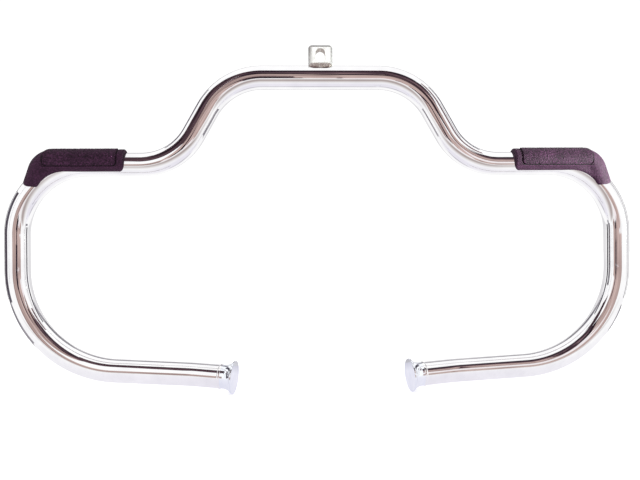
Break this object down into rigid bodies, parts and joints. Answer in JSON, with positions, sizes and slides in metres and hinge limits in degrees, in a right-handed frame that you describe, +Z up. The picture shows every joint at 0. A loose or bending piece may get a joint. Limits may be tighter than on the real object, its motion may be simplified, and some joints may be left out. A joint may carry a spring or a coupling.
{
  "type": "motorcycle engine guard",
  "caption": "Chromed one-piece tubular crash bar with a raised centre, rubber boot pads on its shoulders, a slotted tab on top and flared mounting feet.",
  "frame": {"origin": "centre of the slot in the upper tab, in the bar's middle plane", "axes": "+X to the rider's right along the bar, +Y forwards, away from the boot pads' faces, +Z up"},
  "size_m": [0.8506, 0.0462, 0.4704],
  "materials": {
    "chrome_plate": "polished chrome plate",
    "bright_zinc": "bright plated block",
    "weld_metal": "plated weld bead",
    "pad_rubber": "moulded, with a stippled tread panel"
  },
  "bodies": {
    "root": {"main_tube": "chrome_plate", "upper_tab": "bright_zinc", "tab_weld": "weld_metal", "right_foot": "chrome_plate", "left_foot": "chrome_plate", "right_foot_weld": "chrome_plate", "left_foot_weld": "chrome_plate", "right_pad": "pad_rubber", "left_pad": "pad_rubber"}
  },
  "joints": []
}
